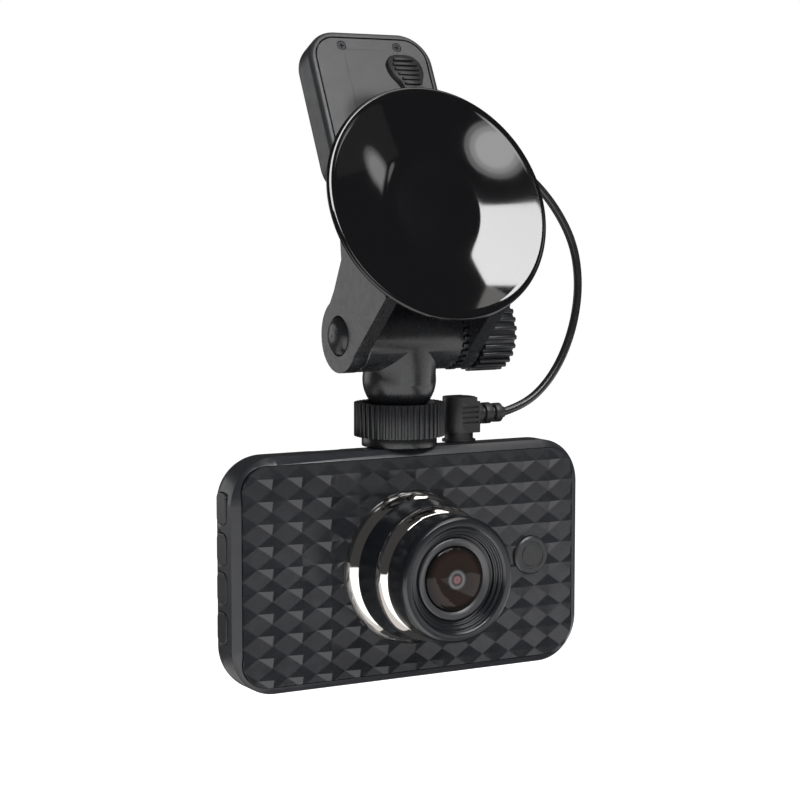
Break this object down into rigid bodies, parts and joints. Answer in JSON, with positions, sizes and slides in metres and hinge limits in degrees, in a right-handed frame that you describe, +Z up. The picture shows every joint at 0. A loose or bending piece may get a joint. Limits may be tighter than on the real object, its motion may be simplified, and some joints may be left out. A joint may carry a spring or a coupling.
{
  "type": "dash camera",
  "caption": "Dash camera with a ringed lens and faceted front, hung by a tilting neck from a suction-cup mount that carries a GPS module and its short lead.",
  "frame": {"origin": "centre of the suction cup's rim, on the glass", "axes": "+Z up as hung in use; the lens looks along -Y; +X is to the right when the camera's front is seen"},
  "size_m": [0.0988, 0.0517, 0.1499],
  "materials": {
    "case_plastic": "satin charcoal, fine moulded texture",
    "panel_plastic": "semi-gloss charcoal, sharp facets",
    "badge_plastic": "gloss black with a pale ring",
    "bright_metal": "bright plated ring",
    "barrel_paint": "satin black",
    "retainer_paint": "satin grey",
    "lens_glass": "coated optical glass",
    "window_glass": "tinted display window",
    "screen": "display, off",
    "board_green": "solder mask",
    "black_moulding": "plain black moulding",
    "port_steel": "plated steel",
    "cell_wrap": "foil pouch with wrap",
    "ceramic": "ceramic patch",
    "insert_brass": "knurled insert",
    "stud_steel": "zinc-plated",
    "mount_plastic": "satin dark grey",
    "knob_plastic": "matte near-black",
    "cup_rubber": "high-gloss black",
    "module_plastic": "satin grey",
    "screw_steel": "blackened",
    "lead_jacket": "smooth black jacket",
    "plug_plastic": "matte black",
    "spring_steel": "spring wire"
  },
  "bodies": {
    "mount": {"mount_base": "mount_plastic", "suction_cup": "cup_rubber", "stem_spring": "spring_steel", "gps_housing": "module_plastic", "gps_cover": "module_plastic", "gps_cover_screws": "screw_steel", "gps_board": "board_green", "gps_antenna": "ceramic", "gps_lead_gland": "plug_plastic", "hinge_bolt": "mount_plastic", "friction_washer": "knob_plastic", "gps_lead_upper": "lead_jacket"},
    "stem": {"cup_stem": "mount_plastic", "lever_pin": "stud_steel"},
    "lever": {"lock_lever": "knob_plastic"},
    "neck": {"neck": "mount_plastic", "mount_stud": "stud_steel"},
    "knob_washer": {"knob_washer": "stud_steel"},
    "knob": {"clamp_knob": "knob_plastic", "knob_nut": "insert_brass"},
    "ring_washer": {"lock_washer": "mount_plastic"},
    "ring": {"lock_ring": "knob_plastic"},
    "camera": {"front_shell": "case_plastic", "rear_shell": "case_plastic", "shell_screws": "screw_steel", "front_panel": "panel_plastic", "badge": "badge_plastic", "lens_flange": "bright_metal", "lens_cone": "barrel_paint", "lens_trim_ring": "bright_metal", "lens_barrel": "barrel_paint", "lens_retainer": "retainer_paint", "front_lens": "lens_glass", "lens_spacer": "barrel_paint", "middle_lens": "lens_glass", "rear_lens": "lens_glass", "lens_holder": "black_moulding", "image_sensor": "screen", "main_board": "board_green", "battery": "cell_wrap", "lcd_panel": "screen", "lcd_window": "window_glass", "speaker": "black_moulding", "microphone": "port_steel", "usb_port": "port_steel", "gps_jack": "black_moulding", "microsd_socket": "port_steel", "mount_insert": "insert_brass", "tact_switches": "black_moulding", "plug_body": "plug_plastic", "plug_pin": "port_steel", "plug_relief": "plug_plastic", "gps_lead_lower": "lead_jacket"},
    "card": {"microsd_card": "black_moulding"},
    "button_1": {"side_button_1": "case_plastic"},
    "button_2": {"side_button_2": "case_plastic"},
    "button_3": {"side_button_3": "case_plastic"},
    "button_4": {"side_button_4": "case_plastic"}
  },
  "joints": [
    {"name": "tilt", "type": "hinge", "parent": "mount", "child": "neck", "pos_m": [0, 0.01719, -0.03049], "axis": [1, 0, 0], "range_deg": [-45, 45], "deforming": ["gps_lead_upper"]},
    {"name": "pan", "type": "hinge", "parent": "neck", "child": "camera", "pos_m": [0, 0.0186, -0.056], "axis": [0, 0, 1], "range_deg": [-35, 35], "deforming": ["gps_lead_lower"]},
    {"name": "ring_rise", "type": "slide", "parent": "neck", "child": "ring_washer", "axis": [0, 0, 1], "range_m": [0, 0.00096]},
    {"name": "ring_turn", "type": "hinge", "parent": "ring_washer", "child": "ring", "pos_m": [0, 0.0186, -0.05], "axis": [0, 0, 1], "range_deg": [0, 270]},
    {"name": "knob_back_off", "type": "slide", "parent": "mount", "child": "knob_washer", "axis": [1, 0, 0], "range_m": [0, 0.00071]},
    {"name": "knob_turn", "type": "hinge", "parent": "knob_washer", "child": "knob", "pos_m": [0.021, 0.01719, -0.03049], "axis": [1, 0, 0], "range_deg": [0, 360]},
    {"name": "stem_travel", "type": "slide", "parent": "mount", "child": "stem", "axis": [0, -0.9348, 0.3551], "range_m": [0, 0.00172], "deforming": ["suction_cup", "stem_spring"]},
    {"name": "lever_turn", "type": "hinge", "parent": "stem", "child": "lever", "pos_m": [0, 0.02141, -0.00813], "axis": [1, 0, 0], "range_deg": [0, 75]},
    {"name": "card_slide", "type": "slide", "parent": "camera", "child": "card", "axis": [1, 0, 0], "range_m": [0, 0.014]},
    {"name": "button_1_press", "type": "slide", "parent": "camera", "child": "button_1", "axis": [1, 0, 0], "range_m": [0, 0.0005], "stiffness_N_per_m": 1500, "springref_m": -0.0002},
    {"name": "button_2_press", "type": "slide", "parent": "camera", "child": "button_2", "axis": [1, 0, 0], "range_m": [0, 0.0005], "stiffness_N_per_m": 1500, "springref_m": -0.0002},
    {"name": "button_3_press", "type": "slide", "parent": "camera", "child": "button_3", "axis": [1, 0, 0], "range_m": [0, 0.0005], "stiffness_N_per_m": 1500, "springref_m": -0.0002},
    {"name": "button_4_press", "type": "slide", "parent": "camera", "child": "button_4", "axis": [1, 0, 0], "range_m": [0, 0.0005], "stiffness_N_per_m": 1500, "springref_m": -0.0002}
  ],
  "couplings": [
    {"joint": "ring_rise", "follows": "ring_turn", "m_per_rad": 0.00020213},
    {"joint": "knob_back_off", "follows": "knob_turn", "m_per_rad": 0.00011141},
    {"joint": "stem_travel", "follows": "lever_turn", "m_per_rad": 0.0012892}
  ]
}
